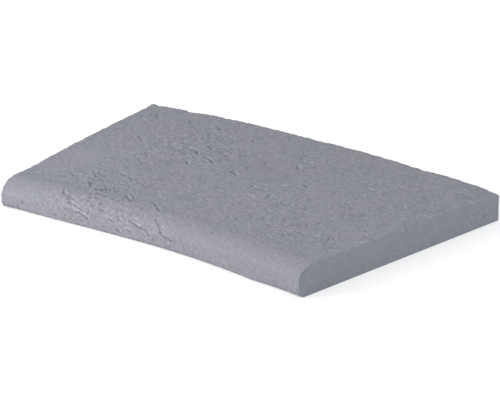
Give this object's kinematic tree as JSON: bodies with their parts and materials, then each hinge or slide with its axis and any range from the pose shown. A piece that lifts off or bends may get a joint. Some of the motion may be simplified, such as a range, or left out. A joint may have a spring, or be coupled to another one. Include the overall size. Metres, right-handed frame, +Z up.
{
  "type": "curved pool coping stone",
  "caption": "Curved pool coping stone: a flat slab cut to a ring segment, with a rounded nose on its hollow side, a riven top and square end faces.",
  "frame": {"origin": "middle of the stone's box, on the bed that it lies on", "axes": "+X along the stone from its left end to its right end as a bather faces it, +Y from the pool towards the terrace, +Z up from the bed to the top"},
  "size_m": [0.4876, 0.3258, 0.0343],
  "materials": {
    "cast_stone": "matte, fine riven cast stone, blue-grey all through"
  },
  "bodies": {
    "root": {"coping_stone": "cast_stone"}
  },
  "joints": []
}
